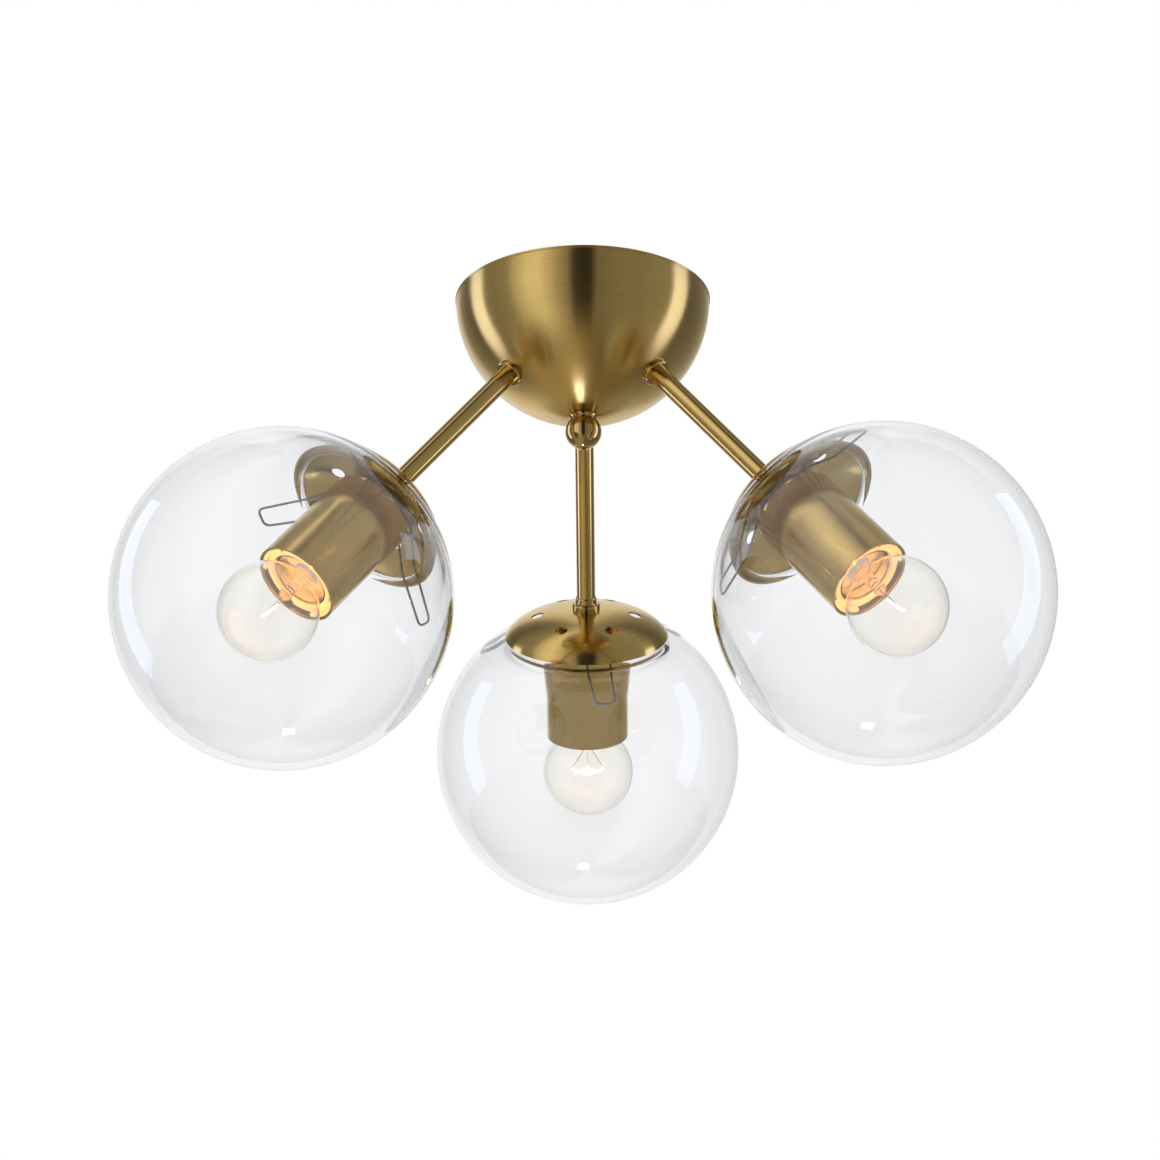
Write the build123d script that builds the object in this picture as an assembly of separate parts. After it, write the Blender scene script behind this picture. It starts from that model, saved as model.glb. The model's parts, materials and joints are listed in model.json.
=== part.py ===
from build123d import *
import math
import os

# Semi flush ceiling light: a brass half-ball canopy, three straight arms that splay down and out,
# and on each arm a brass cap that carries a clear glass globe on three wire springs.
# Millimetres. +Z is up into the ceiling, and the origin is the centre of the canopy's rim.

# ---- canopy and arms
CANOPY_R = 60.0                    # outside radius of the half ball
CANOPY_WALL = 1.0
CANOPY_HEM_HEIGHT, CANOPY_HEM_PROUD = 1.2, 0.4    # rounded hem at the ceiling
ARM_DROP = 49.5                    # degrees that each arm falls below the horizontal
ARM_TURN = {"right": -30.0, "left": 210.0, "back": 90.0}
ARM_R = 4.5
ARM_BORE_R = 3.3
ARM_START, ARM_END = 47.0, 176.0   # distances along an arm are counted from the origin

# ---- shade cap, globe and lampholder cup, by distance along the arm
CAP_TOP = 155.6
CAP_R, CAP_RISE, CAP_WALL = 40.0, 14.2, 0.8
CAP_RIM_INNER_R = 39.1
CAP_OVAL_R, CAP_OVAL_RISE = 41.5, 19.36           # oval whose outer part the rim cuts off
VENT_COUNT, VENT_R, VENT_CIRCLE_R = 6, 3.1, 24.0
VENT_TURN = {"right": 31.0, "left": 55.0, "back": 0.0}
GLOBE_R, GLOBE_WALL, GLOBE_MID = 75.0, 2.0, 232.6
SHOULDER_OUTSIDE = (50.0, 32.0, 37.5)             # leaves the ball at, bend radius, ends at
SHOULDER_INSIDE = (53.0, 25.6, 36.2)
BOSS_R, BOSS_UNDER = 16.0, 158.4   # turned boss under the cap that grips the springs
CLIP_COUNT, CLIP_WIRE_R = 3, 0.55
CLIP_TURN = {"right": 0.0, "left": 27.0, "back": 20.0}
CLIP_HALF_WIDTH, CLIP_BEND_HALF_WIDTH, CLIP_TIP_HALF_WIDTH = 6.4, 5.7, 4.8
CLIP_BEND_R, CLIP_BEND_AT = 31.0, 172.8
CLIP_TIP_R, CLIP_TIP_AT = 53.85, 184.9
CUP_TOP, CUP_MOUTH, CUP_R, CUP_WALL, CUP_SHOULDER_R = 163.4, 222.5, 20.0, 1.0, 6.0

# ---- lampholder and bulb
HOLDER_R, HOLDER_FACE, HOLDER_FLOOR, HOLDER_CHAMBER_END = 18.7, 220.6, 190.0, 187.0
SHELL_R, SHELL_WALL = 13.75, 0.4
EAR_TURN, EAR_WIDTH = 93.0, 64.0
BULB_R, BULB_MID, BULB_WALL = 22.5, 242.3, 0.7
BULB_NECK_R, BLEND_R = 12.4, 10.0
BASE_R, BASE_MOUTH = 13.0, 219.8

# ---- finial, rod, bracket and wiring
ROD_R = 3.0
FINIAL_BALL_R, FINIAL_BALL_Z = 8.5, -67.4
FINIAL_NECK_R, FINIAL_WAIST_R, FINIAL_WAIST_Z = 6.8, 6.15, -61.0
SLOT_Y, SLOT_LENGTH, SLOT_R = 42.0, 10.0, 2.6
STRIP_HALF_LENGTH, STRIP_WIDTH, STRIP_T = 52.0, 20.0, 1.5
SADDLE_Z = -8.0                    # top of the bracket's lowered middle
SADDLE_UNDER = SADDLE_Z - STRIP_T
EARTH_Y, EARTH_SCREW_R, LUG_R, LUG_T = 18.0, 2.0, 4.0, 0.8
POLE_X = (-9.0, 0.0, 9.0)          # poles of the terminal block
BLOCK_Y, BLOCK_DEPTH, BLOCK_HEIGHT = -21.5, 17.0, 9.0
BLOCK_UNDER = SADDLE_UNDER - BLOCK_HEIGHT
BLOCK_SCREW_X, BLOCK_SCREW_R = 4.5, 1.5
TOWER_Y = (BLOCK_Y - 4.6, BLOCK_Y + 4.6)
TOWER_R, TOWER_BORE_R, TOWER_UNDER = 3.3, 1.9, BLOCK_UNDER - 5.0
TOWER_BORE_END = BLOCK_UNDER + 1.5
PORT_Z = SADDLE_UNDER - 4.5        # height at which the leads enter the block
LEAD_R = 1.0
LEAD_OFFSET = 1.4                  # live and neutral run this far either side of an arm's axis
LEAD_START_Y = -15.0
GAP = 0.25                         # air left between curved faces of separate bodies

# ---- bends of the live leads between the block and the start of each arm; the neutrals mirror them
LIVE_ROUTES = {
    "left": [(-11.3, -9.5, PORT_Z), (-14.5, -10, -21)],
    "right": [(-6.7, -8, PORT_Z), (0, -5, -20), (11, -4.5, -23)],
    "back": [(-9, -4, PORT_Z), (-7.5, 9, -20)],
}
LOW_CROSSING = [(6.7, -9.8, PORT_Z), (3, -8, -26), (-10, -6.5, -28)]

PARTS = {}


def keep(name, shape):
    """Remember a piece under the name of its file."""
    PARTS[name] = shape


def arm_plane(turn):
    """Local frame of one arm: z runs down the arm, x is level, y points up and back."""
    down = math.radians(ARM_DROP)
    az = math.radians(turn)
    along = (math.cos(az) * math.cos(down), math.sin(az) * math.cos(down), -math.sin(down))
    return Plane(origin=(0, 0, 0), x_dir=(-math.sin(az), math.cos(az), 0), z_dir=along)


def turned(*edges):
    """Solid of revolution about Z from an outline drawn as (radius, height)."""
    outline = Curve() + list(edges)
    return revolve(Plane.XZ * make_face(outline), Axis.Z)


def lines(*points):
    return Polyline(*points)


def ring(inner, outer, low, high):
    """Plain tube between two heights."""
    return turned(lines((inner, low), (outer, low), (outer, high), (inner, high), (inner, low)))


def rod(radius, low, high, x=0.0, y=0.0):
    height = high - low
    return Pos(x, y, low + height / 2) * Cylinder(radius, height)


def hex_nut(flats, bore, low, high, turn=0.0):
    """Hexagonal nut with chamfered corners."""
    corner = flats / 2 / math.cos(math.radians(30))
    body = Pos(0, 0, low) * Rot(0, 0, turn) * extrude(RegularPolygon(corner, 6), high - low)
    cone = 0.35 * (corner - flats / 2)
    barrel = turned(
        lines(
            (0, low), (corner - cone, low), (corner, low + cone), (corner, high - cone),
            (corner - cone, high), (0, high), (0, low),
        )
    )
    return (body & barrel) - rod(bore, low, high)


def on_arms(make):
    """One copy of an arm piece on each arm, as a group of separate solids."""
    return Compound([arm_plane(turn).location * make for turn in ARM_TURN.values()])


# ---------------------------------------------------------------- canopy


def canopy():
    """Half ball spun from sheet, open at the ceiling, holed for the rod and the three arms."""
    rod_hole = ROD_R + 0.3
    inner_r = CANOPY_R - CANOPY_WALL
    start = math.degrees(math.acos(rod_hole / CANOPY_R))
    inner_start = math.degrees(math.acos(rod_hole / inner_r))
    hem_low = -CANOPY_HEM_HEIGHT
    hem_r = math.sqrt(CANOPY_R**2 - hem_low**2)
    hem_turn = math.degrees(math.asin(CANOPY_HEM_HEIGHT / CANOPY_R))
    shell = turned(
        CenterArc((0, 0), CANOPY_R, -start, start - hem_turn),
        ThreePointArc((hem_r, hem_low), (CANOPY_R + CANOPY_HEM_PROUD, hem_low / 2), (CANOPY_R, 0)),
        Line((CANOPY_R, 0), (inner_r, 0)),
        CenterArc((0, 0), inner_r, 0, -inner_start),
        Line(
            (rod_hole, -math.sqrt(inner_r**2 - rod_hole**2)),
            (rod_hole, -math.sqrt(CANOPY_R**2 - rod_hole**2)),
        ),
    )
    for turn in ARM_TURN.values():
        shell -= arm_plane(turn).location * rod(ARM_R, 40, 80)
    return shell


def seated_washer(inner_face_r, inner, outer, top, rounding):
    """Washer whose seat follows a ball of the given radius."""
    low_in = math.sqrt(inner_face_r**2 - inner**2)
    low_out = math.sqrt(inner_face_r**2 - outer**2)
    mid = (inner + outer) / 2
    return turned(
        ThreePointArc((inner, low_in), (mid, math.sqrt(inner_face_r**2 - mid**2)), (outer, low_out)),
        Line((outer, low_out), (outer, top - rounding)),
        RadiusArc((outer, top - rounding), (outer - rounding, top), -rounding),
        Line((outer - rounding, top), (inner, top)),
        Line((inner, top), (inner, low_in)),
    )


def arm_washer():
    """Dished washer inside the canopy: its outer face follows the inside of the ball."""
    inner_r = CANOPY_R - CANOPY_WALL
    disc = ring(ARM_R, 7.5, 57.2, 60.0)
    return disc & Sphere(inner_r)


# ---------------------------------------------------------------- shade


def dome_arc(a, b, centre, from_r, to_r):
    """Stretch of a flat dome's outline between two radii; the oval's centre is at the height centre."""
    start = -math.degrees(math.acos(from_r / a))
    end = -math.degrees(math.acos(to_r / a))
    return EllipticalCenterArc((0, centre), a, b, start, arc_size=end - start)


def cap_outside(from_r, to_r):
    return dome_arc(CAP_OVAL_R, CAP_OVAL_RISE, CAP_TOP + CAP_OVAL_RISE, from_r, to_r)


def cap_inside(from_r, to_r):
    a, b = CAP_OVAL_R - CAP_WALL, CAP_OVAL_RISE - CAP_WALL
    return dome_arc(a, b, CAP_TOP + CAP_OVAL_RISE, from_r, to_r)


def shade_cap(vent_turn):
    """Shallow spun dome with a ring of vent holes; its rim sits just off the globe."""
    rim = CAP_TOP + CAP_RISE
    outer = cap_outside(ARM_R, CAP_R)
    inner = cap_inside(ARM_R, CAP_RIM_INNER_R)
    dome = turned(outer, Line(outer @ 1, inner @ 1), inner, Line(inner @ 0, outer @ 0))
    for i in range(VENT_COUNT):
        vent = rod(VENT_R, CAP_TOP - 2, rim, VENT_CIRCLE_R)
        dome -= Rot(0, 0, vent_turn + 360 / VENT_COUNT * i) * vent
    return dome


def cap_collar():
    """Small turned collar on the arm above the cap: a short sleeve on a flange."""
    flange_r, flange_at, edge = 6.7, 152.8, 0.7
    seat = cap_outside(ARM_R, flange_r)
    return turned(
        lines(
            (ARM_R, 149.6), (4.9, 149.6), (5.1, 149.9), (5.1, flange_at), (flange_r - edge, flange_at)
        ),
        RadiusArc((flange_r - edge, flange_at), (flange_r, flange_at + edge), -edge),
        Line((flange_r, flange_at + edge), seat @ 1),
        seat,
        Line(seat @ 0, (ARM_R, 149.6)),
    )


def clip_path():
    """Line of one hairpin: out along the boss, bent down, outwards past the lip, round the tip and back."""
    low = BOSS_UNDER + CLIP_WIRE_R
    leg = [
        (9.2, CLIP_HALF_WIDTH, low),
        (15.5, CLIP_HALF_WIDTH, low),
        (CLIP_BEND_R, CLIP_BEND_HALF_WIDTH, CLIP_BEND_AT),
        (CLIP_TIP_R, CLIP_TIP_HALF_WIDTH, CLIP_TIP_AT),
    ]
    return FilletPolyline(*leg, *[(x, -y, z) for x, y, z in reversed(leg)], radius=3.0)


def hairpin(wire_r):
    path = clip_path()
    section = Plane(origin=path @ 0, z_dir=path % 0) * Circle(wire_r)
    return sweep(section, path=path)


def spring_clips(clip_turn):
    wire = hairpin(CLIP_WIRE_R)
    return Compound([Rot(0, 0, clip_turn + 360 / CLIP_COUNT * i) * wire for i in range(CLIP_COUNT)])


def spring_boss(clip_turn):
    """Boss nested under the cap; three clamp bars on it hold the hairpins' legs."""
    seat = cap_inside(ARM_R, BOSS_R)
    boss = turned(
        seat, Line(seat @ 1, (BOSS_R, BOSS_UNDER)), Line((BOSS_R, BOSS_UNDER), (ARM_R, BOSS_UNDER)),
        Line((ARM_R, BOSS_UNDER), seat @ 0),
    )
    bar = Pos(11.6, 0, BOSS_UNDER + 0.9) * Box(4.2, 2 * CLIP_HALF_WIDTH + 3.2, 1.8)
    bar -= hairpin(CLIP_WIRE_R)
    for i in range(CLIP_COUNT):
        boss += Rot(0, 0, clip_turn + 360 / CLIP_COUNT * i) * bar
    return boss


def shoulder(ball_r, leaves_at, bend_r, ends_at):
    """Start, middle and end of an arc that leaves a ball smoothly and flattens towards its opening."""
    share = 1 - bend_r / ball_r
    centre_r = share * leaves_at
    centre_z = GLOBE_MID - share * math.sqrt(ball_r**2 - leaves_at**2)
    stops = (leaves_at, (leaves_at + ends_at) / 2, ends_at)
    return [(r, centre_z - math.sqrt(bend_r**2 - (r - centre_r) ** 2)) for r in stops]


def globe():
    """Blown glass ball that flattens into a shoulder and ends in a thick fire-polished lip."""
    inner_r = GLOBE_R - GLOBE_WALL
    outside = shoulder(GLOBE_R, *SHOULDER_OUTSIDE)
    inside = shoulder(inner_r, *SHOULDER_INSIDE)
    (top_r, top_z), (under_r, under_z) = outside[2], inside[2]
    nose = ((top_r + under_r - under_z + top_z) / 2, (top_z + under_z + under_r - top_r) / 2)
    return turned(
        ThreePointArc((0, GLOBE_MID + GLOBE_R), (GLOBE_R, GLOBE_MID), outside[0]),
        ThreePointArc(*outside),
        ThreePointArc(outside[2], nose, inside[2]),
        ThreePointArc(*reversed(inside)),
        ThreePointArc(inside[0], (inner_r, GLOBE_MID), (0, GLOBE_MID + inner_r)),
        Line((0, GLOBE_MID + inner_r), (0, GLOBE_MID + GLOBE_R)),
    )


def holder_cup():
    """Straight brass cup over the lampholder, open at the bulb, with a rounded shoulder."""
    r, wall, bend = CUP_R, CUP_WALL, CUP_SHOULDER_R
    inner_bend = bend - wall
    return turned(
        Line((ARM_R, CUP_TOP), (r - bend, CUP_TOP)),
        CenterArc((r - bend, CUP_TOP + bend), bend, -90, 90),
        lines((r, CUP_TOP + bend), (r, CUP_MOUTH), (r - wall, CUP_MOUTH), (r - wall, CUP_TOP + bend)),
        CenterArc((r - bend, CUP_TOP + bend), inner_bend, 0, -90),
        lines((r - bend, CUP_TOP + wall), (ARM_R, CUP_TOP + wall), (ARM_R, CUP_TOP)),
    )


# ---------------------------------------------------------------- lampholder


def lampholder():
    """Moulded holder: closed head with a wiring chamber, open bore, and two ears round its mouth."""
    ear_root, ear_end = 206.0, HOLDER_FACE + 1.4
    body = turned(
        lines(
            (ARM_R, CUP_TOP + CUP_WALL), (9, CUP_TOP + CUP_WALL), (9, 167), (15.5, 171.5),
            (17.4, 175), (17.4, HOLDER_FACE - 0.5), (16.9, HOLDER_FACE), (14.6, HOLDER_FACE),
            (SHELL_R, HOLDER_FACE - 0.8), (SHELL_R, HOLDER_FLOOR), (0, HOLDER_FLOOR),
            (0, HOLDER_CHAMBER_END), (12, HOLDER_CHAMBER_END), (12, 173), (ARM_R, 173),
            (ARM_R, CUP_TOP + CUP_WALL),
        )
    )
    ears = ring(17.0, HOLDER_R, ear_root, ear_end)
    wedge = Pos(0, 0, ear_root) * extrude(ear_sector(), ear_end - ear_root)
    for turn in (0, 180):
        body += ears & (Rot(0, 0, turn) * wedge)
    latch_gap = Rot(0, 0, EAR_TURN + 103) * (Pos(16.6, 0, HOLDER_FACE - 1.5) * Box(2.6, 3.4, 4))
    return body - latch_gap


def ear_sector():
    """Flat wedge as wide as one ear, centred on EAR_TURN."""
    reach = 30.0
    half = math.radians(EAR_WIDTH / 2)
    mid = math.radians(EAR_TURN)
    corner = [(reach * math.cos(mid + k * half), reach * math.sin(mid + k * half)) for k in (-1, 0, 1)]
    return make_face(Polyline((0, 0), *corner, (0, 0)))


def screw_shell():
    """Threaded shell that the bulb's base screws into, with an inturned foot."""
    inner = SHELL_R - SHELL_WALL
    return turned(
        lines(
            (SHELL_R, 219.4), (SHELL_R, 195), (10, 195), (10, 195.4), (inner, 195.4),
            (inner, 219.4), (SHELL_R, 219.4),
        )
    )


def centre_contact():
    """Sprung tongue that bows up from the holder's floor to the bulb's tip."""
    foot, thickness, rise, half_depth = HOLDER_FLOOR, 0.5, 4.6, 2.5
    outline = Curve() + [
        ThreePointArc((-7, foot + thickness), (0, foot + rise), (7, foot + thickness)),
        lines((7, foot + thickness), (8.5, foot + thickness), (8.5, foot), (6.5, foot)),
        ThreePointArc((6.5, foot), (0, foot + rise - 0.4), (-6.5, foot)),
        lines((-6.5, foot), (-8.5, foot), (-8.5, foot + thickness), (-7, foot + thickness)),
    ]
    return extrude(Plane.XZ * make_face(outline), half_depth, both=True)


# ---------------------------------------------------------------- bulb


def bulb_outline(ball_r, neck_r, blend_r):
    """Ball, hollow blend and straight neck: the three tangent edges, and where they meet."""
    reach = ball_r + blend_r
    blend_at = BULB_MID - math.sqrt(reach**2 - (neck_r + blend_r) ** 2)
    share = ball_r / reach
    meet = (share * (neck_r + blend_r), BULB_MID + share * (blend_at - BULB_MID))
    tip = (0, BULB_MID + ball_r)
    halfway = (math.atan2(meet[1] - blend_at, meet[0] - neck_r - blend_r) + math.pi) / 2
    middle = (neck_r + blend_r + blend_r * math.cos(halfway), blend_at + blend_r * math.sin(halfway))
    ball = ThreePointArc(tip, (ball_r, BULB_MID), meet)
    blend = ThreePointArc(meet, middle, (neck_r, blend_at))
    return ball, blend, (neck_r, blend_at), tip


def bulb_glass():
    """Golf-ball bulb: thin clear ball on a neck that drops inside the base."""
    neck_end = 212.0
    ball, blend, root, tip = bulb_outline(BULB_R, BULB_NECK_R, BLEND_R)
    inner = bulb_outline(BULB_R - BULB_WALL, BULB_NECK_R - BULB_WALL, BLEND_R + BULB_WALL)
    in_ball, in_blend, in_root, in_tip = inner
    return turned(
        ball, blend,
        lines(root, (root[0], neck_end), (in_root[0], neck_end), in_root),
        in_blend, in_ball, Line(in_tip, tip),
    )


def bulb_base():
    """Screw cap: drawn shell with a coned foot that holds the insulator."""
    r, wall = BASE_R, 0.4
    return turned(
        lines(
            (r, BASE_MOUTH), (r, 200.5), (11.8, 198.6), (8, 197.4), (8, 197.8), (11.4, 199.0),
            (r - wall, 200.9), (r - wall, BASE_MOUTH), (r, BASE_MOUTH),
        )
    )


def bulb_contact():
    """Glass insulator in the foot of the base, and the solder button on it."""
    insulator = turned(lines((4, 196.4), (8, 197.4), (8, 197.8), (8, 198.8), (4, 198.8), (4, 196.4)))
    button = turned(
        ThreePointArc((0, 195.2), (2.8, 195.6), (4, 196.4)),
        lines((4, 196.4), (4, 198.8), (0, 198.8), (0, 195.2)),
    )
    return Compound([insulator, button])


def bulb_stem():
    """Glass stem: a flare that seals the neck, a tube and a rounded pinch that holds the wires."""
    return turned(
        lines(
            (0, 213), (BULB_NECK_R - BULB_WALL, 213), (BULB_NECK_R - BULB_WALL, 213.8), (6, 215.5),
            (3.2, 219), (2.6, 226), (3.0, 229.4),
        ),
        CenterArc((0, 229.4), 3.0, 0, 90),
        Line((0, 232.4), (0, 213)),
    )


def bulb_filament():
    """Two support wires out of the stem and the filament strung between them."""
    wire_r, foot, top = 0.35, 230.0, 241.0
    spread_foot, spread_top = 1.4, 8.0
    shape = None
    for side in (-1, 1):
        leg = Line((side * spread_foot, 0, foot), (side * spread_top, 0, top))
        wire = sweep(Plane(origin=leg @ 0, z_dir=leg % 0) * Circle(wire_r), path=leg)
        shape = wire if shape is None else shape + wire
    arch = ThreePointArc((-spread_top, 0, top), (0, 0, top + 3.4), (spread_top, 0, top))
    coil = sweep(Plane(origin=arch @ 0, z_dir=arch % 0) * Circle(0.6), path=arch)
    return (shape + coil) - bulb_stem()


# ---------------------------------------------------------------- finial, rod and bracket


def finial():
    """Ball knob with a waisted neck that screws on to the rod and holds the canopy up."""
    seat_r = CANOPY_R + GAP
    bore_r, bore_end = ROD_R + 0.05, -70.0
    middle_r = (bore_r + FINIAL_NECK_R) / 2
    bore_top, middle, shoulder = [
        (r, -math.sqrt(seat_r**2 - r**2)) for r in (bore_r, middle_r, FINIAL_NECK_R)
    ]
    meet_r = 5.9
    meet = (meet_r, FINIAL_BALL_Z + math.sqrt(FINIAL_BALL_R**2 - meet_r**2))
    tip = (0, FINIAL_BALL_Z - FINIAL_BALL_R)
    return turned(
        ThreePointArc(bore_top, middle, shoulder),
        ThreePointArc(shoulder, (FINIAL_WAIST_R, FINIAL_WAIST_Z), meet),
        ThreePointArc(meet, (FINIAL_BALL_R, FINIAL_BALL_Z), tip),
        lines(tip, (0, bore_end), (bore_r, bore_end), bore_top),
    )


def bracket():
    """Pressed steel strap: flat ends on the ceiling, lowered middle, slots for two ceiling screws."""
    t, out, foot, mid = STRIP_T, STRIP_HALF_LENGTH, 35.0, 29.0
    fold = 0.75
    top = [(foot, 0), (mid, SADDLE_Z)]
    under = [(mid + fold, SADDLE_Z - t), (foot + fold, -t)]
    side = [(out, 0), *top]
    half = [*side, *[(-y, z) for y, z in reversed(side)]]
    lower = [(-out, -t), *[(-y, z) for y, z in reversed(under)], *under, (out, -t)]
    strap = extrude(Plane.YZ * make_face(Polyline(*half, *lower, (out, 0))), STRIP_WIDTH / 2, both=True)
    for y in (-SLOT_Y, SLOT_Y):
        slot = Pos(0, y, -t) * Rot(0, 0, 90) * extrude(SlotOverall(SLOT_LENGTH, 2 * SLOT_R), 2 * t)
        strap -= slot
    strap -= rod(ROD_R, SADDLE_Z - t, SADDLE_Z)
    strap -= rod(EARTH_SCREW_R, SADDLE_Z - t, SADDLE_Z, 0, EARTH_Y)
    strap -= rod(BLOCK_SCREW_R, SADDLE_Z - t, SADDLE_Z, BLOCK_SCREW_X, BLOCK_Y)
    return strap


def rod_nuts():
    nut_t = 5.0
    upper = hex_nut(10, ROD_R, SADDLE_Z, SADDLE_Z + nut_t)
    lower = hex_nut(10, ROD_R, SADDLE_UNDER - nut_t, SADDLE_UNDER, 30)
    return Compound([upper, lower])


def terminal_block():
    """Three-pole block: body, two screw towers a pole, wide ports to the lamp, round ones to the mains."""
    width = 3 * (POLE_X[1] - POLE_X[0])
    body = Pos(0, BLOCK_Y, (SADDLE_UNDER + BLOCK_UNDER) / 2) * Box(width, BLOCK_DEPTH, BLOCK_HEIGHT)
    port_depth = 4.0
    port_y = BLOCK_DEPTH / 2 - port_depth / 2
    for x in POLE_X:
        for y in TOWER_Y:
            body += rod(TOWER_R, TOWER_UNDER, BLOCK_UNDER, x, y)
    for x in POLE_X:
        for y in TOWER_Y:
            body -= rod(TOWER_BORE_R, TOWER_UNDER, TOWER_BORE_END, x, y)
        body -= Pos(x, BLOCK_Y + port_y, PORT_Z) * Box(7.4, port_depth, 2.6)
        body -= Pos(x, BLOCK_Y - port_y, PORT_Z) * Rot(90, 0, 0) * Cylinder(2.0, port_depth)
    return body - rod(BLOCK_SCREW_R, BLOCK_UNDER, SADDLE_UNDER, BLOCK_SCREW_X, BLOCK_Y)


def slotted(screw, x, y, low, head_r):
    """Cut a driver's slot across the head, whose outer face is at the height low."""
    return screw - Pos(x, y, low) * Box(2 * head_r, 0.7, 1.0)


def terminal_screws():
    low = TOWER_UNDER + 1.0
    screws = []
    for x in POLE_X:
        for y in TOWER_Y:
            screws.append(slotted(rod(TOWER_BORE_R, low, TOWER_BORE_END, x, y), x, y, low, TOWER_BORE_R))
    return Compound(screws)


def head_screw(x, y, head_r, head_t, shank_r, seat_z, end_z):
    """Pan-head screw driven upwards: head under seat_z, shank up to end_z."""
    screw = rod(head_r, seat_z - head_t, seat_z, x, y) + rod(shank_r, seat_z, end_z, x, y)
    return slotted(screw, x, y, seat_z - head_t, head_r)


def lead_bends(points):
    """Bend radii: 0.45 of the shorter run, divided by the tangent of half the turn, at most 12."""
    bends = []
    for a, b, c in zip(points, points[1:], points[2:]):
        before, after = b - a, c - b
        half_turn = math.radians(before.get_angle(after)) / 2
        bends.append(min(12.0, 0.45 * min(before.length, after.length) / math.tan(half_turn)))
    return bends


def laid_wire(points):
    """Insulated wire along the given points, with tangent arcs where it turns."""
    vectors = [Vector(*p) for p in points]
    path = FilletPolyline(*vectors, radius=lead_bends(vectors))
    return sweep(Plane(origin=path @ 0, z_dir=path % 0) * Circle(LEAD_R), path=path)


def lead(name, offset, bends):
    """Lead from its port in the block, by the given bends, and straight down the arm to the holder."""
    down = arm_plane(ARM_TURN[name]).location
    port = (bends[0][0], LEAD_START_Y, PORT_Z)
    tail = [tuple((down * Pos(offset, 0, s)).position) for s in (39.0, HOLDER_CHAMBER_END)]
    return laid_wire([port, *bends, *tail])


def live_leads():
    return Compound([lead(name, LEAD_OFFSET, route) for name, route in LIVE_ROUTES.items()])


def neutral_leads():
    """Mirror image of the live leads at the block, with its crossing laid lower."""
    routes = {
        "left": LOW_CROSSING,
        "right": [(-x, y, z) for x, y, z in LIVE_ROUTES["left"]],
        "back": [(-x, y, z) for x, y, z in LIVE_ROUTES["back"]],
    }
    return Compound([lead(name, -LEAD_OFFSET, route) for name, route in routes.items()])


def earth_lead():
    """Short lead from the middle pole round the rod to a ring lug under the earth screw."""
    lug_z = SADDLE_UNDER - LUG_T
    wire_z = lug_z - 0.6
    wire = laid_wire(
        [(0, LEAD_START_Y, PORT_Z), (0, -10.4, PORT_Z), (8, -5.5, wire_z), (11, 4, wire_z),
         (7.2, EARTH_Y, wire_z)]
    )
    tongue = Pos(5.5, EARTH_Y, lug_z + LUG_T / 2) * Box(5, 2.8, LUG_T)
    lug = rod(LUG_R, lug_z, SADDLE_UNDER, 0, EARTH_Y) + tongue
    return wire + (lug - rod(EARTH_SCREW_R, lug_z, SADDLE_UNDER, 0, EARTH_Y))


# ---------------------------------------------------------------- assembly

keep("ceiling_bracket", bracket())
keep("threaded_rod", rod(ROD_R, -69.0, -1.5))
keep("rod_nuts", rod_nuts())
keep("terminal_block", terminal_block())
keep("terminal_screws", terminal_screws())
keep("block_screw", head_screw(BLOCK_SCREW_X, BLOCK_Y, 2.6, 1.8, BLOCK_SCREW_R, BLOCK_UNDER, SADDLE_Z))
keep("earth_screw", head_screw(0, EARTH_Y, 3.6, 2.4, EARTH_SCREW_R, SADDLE_UNDER - LUG_T, SADDLE_Z + 1.5))
keep("earth_lead", earth_lead())
keep("live_leads", live_leads())
keep("neutral_leads", neutral_leads())
keep("finial", finial())
keep("canopy", canopy())
keep("canopy_collars", on_arms(seated_washer(CANOPY_R, ARM_R, 6.75, 61.9, 0.8)))
keep("arm_washers", on_arms(arm_washer()))
keep("arm_nuts", on_arms(hex_nut(12, ARM_R, 52.7, 57.2)))
keep("cap_collars", on_arms(cap_collar()))
keep("cap_nuts", on_arms(hex_nut(13, ARM_R, BOSS_UNDER, CUP_TOP)))

same_on_every_arm = {
    "arm_tube": ring(ARM_BORE_R, ARM_R, ARM_START, ARM_END),
    "holder_cup": holder_cup(),
    "lampholder": lampholder(),
    "screw_shell": screw_shell(),
    "centre_contact": centre_contact(),
    "globe": globe(),
    "bulb_glass": bulb_glass(),
    "bulb_base": bulb_base(),
    "bulb_contact": bulb_contact(),
    "bulb_stem": bulb_stem(),
    "bulb_filament": bulb_filament(),
}
for arm, turn in ARM_TURN.items():
    place = arm_plane(turn).location
    for piece, shape in same_on_every_arm.items():
        keep(f"{piece}_{arm}", place * shape)
    keep(f"shade_cap_{arm}", place * shade_cap(VENT_TURN[arm]))
    keep(f"spring_boss_{arm}", place * spring_boss(CLIP_TURN[arm]))
    keep(f"spring_clips_{arm}", place * spring_clips(CLIP_TURN[arm]))

os.makedirs("parts", exist_ok=True)
for name, shape in PARTS.items():
    export_step(shape, f"parts/{name}.step")
print(len(PARTS), "parts written")
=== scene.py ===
# %% [markdown]
# # A semi flush ceiling light with three clear globes
# This lesson dresses a ceiling light. A half ball of brushed brass sits against the ceiling. Three brass
# arms splay down from it, and each carries a vented cap, a lampholder in a brass cup, a small clear bulb and
# a blown glass globe. The solids come ready made, so they are loaded first and never moved. Lengths are in
# metres, and +Z is up into the ceiling.

# %% Load the model
import json
import math

import bpy
from mathutils import Matrix, Vector

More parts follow.
